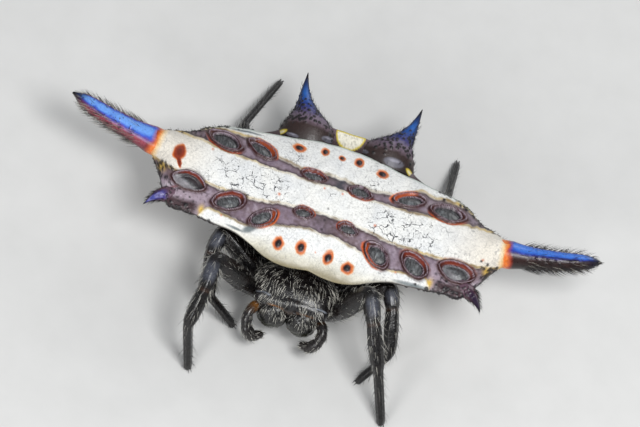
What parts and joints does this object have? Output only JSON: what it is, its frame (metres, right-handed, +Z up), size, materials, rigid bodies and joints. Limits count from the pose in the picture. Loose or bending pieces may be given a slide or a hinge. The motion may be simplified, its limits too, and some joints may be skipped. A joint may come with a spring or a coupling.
{
  "type": "spiny orb weaver",
  "caption": "Life-size still model of a female spiny orb weaver standing on its feet, wide banded plate with long hairy side spines.",
  "frame": {"origin": "on the floor under the middle of the model's box", "axes": "+X to the animal's left, +Y towards its rear, +Z up; it faces -Y"},
  "size_m": [0.0186, 0.0118, 0.0037],
  "materials": {
    "abdomen_cuticle": "hard off-white cuticle with fine grey crackle, mauve bands and dark rimmed sigilla",
    "spine_cuticle": "glossy maroon to blue horn with short bristles",
    "dark_cuticle": "glossy black-brown cuticle with short pale hairs",
    "eye_lens": "polished black lens"
  },
  "bodies": {
    "root": {"abdomen": "abdomen_cuticle", "cephalothorax": "dark_cuticle", "chelicera_left": "dark_cuticle", "chelicera_right": "dark_cuticle", "eye_lateral_front_left": "eye_lens", "eye_lateral_front_right": "eye_lens", "eye_lateral_rear_left": "eye_lens", "eye_lateral_rear_right": "eye_lens", "eye_median_front_left": "eye_lens", "eye_median_front_right": "eye_lens", "eye_median_rear_left": "eye_lens", "eye_median_rear_right": "eye_lens", "leg_1_left_femur": "dark_cuticle", "leg_1_left_tarsus": "dark_cuticle", "leg_1_left_tibia": "dark_cuticle", "leg_1_right_femur": "dark_cuticle", "leg_1_right_tarsus": "dark_cuticle", "leg_1_right_tibia": "dark_cuticle", "leg_2_left_femur": "dark_cuticle", "leg_2_left_tarsus": "dark_cuticle", "leg_2_left_tibia": "dark_cuticle", "leg_2_right_femur": "dark_cuticle", "leg_2_right_tarsus": "dark_cuticle", "leg_2_right_tibia": "dark_cuticle", "leg_3_left_femur": "dark_cuticle", "leg_3_left_tarsus": "dark_cuticle", "leg_3_left_tibia": "dark_cuticle", "leg_3_right_femur": "dark_cuticle", "leg_3_right_tarsus": "dark_cuticle", "leg_3_right_tibia": "dark_cuticle", "leg_4_left_femur": "dark_cuticle", "leg_4_left_tarsus": "dark_cuticle", "leg_4_left_tibia": "dark_cuticle", "leg_4_right_femur": "dark_cuticle", "leg_4_right_tarsus": "dark_cuticle", "leg_4_right_tibia": "dark_cuticle", "palp_left": "dark_cuticle", "palp_right": "dark_cuticle", "pedicel": "dark_cuticle", "spine_anterior_left": "spine_cuticle", "spine_anterior_right": "spine_cuticle", "spine_median_left": "spine_cuticle", "spine_median_right": "spine_cuticle", "spine_posterior_left": "spine_cuticle", "spine_posterior_right": "spine_cuticle", "spinnerets": "dark_cuticle"}
  },
  "joints": []
}
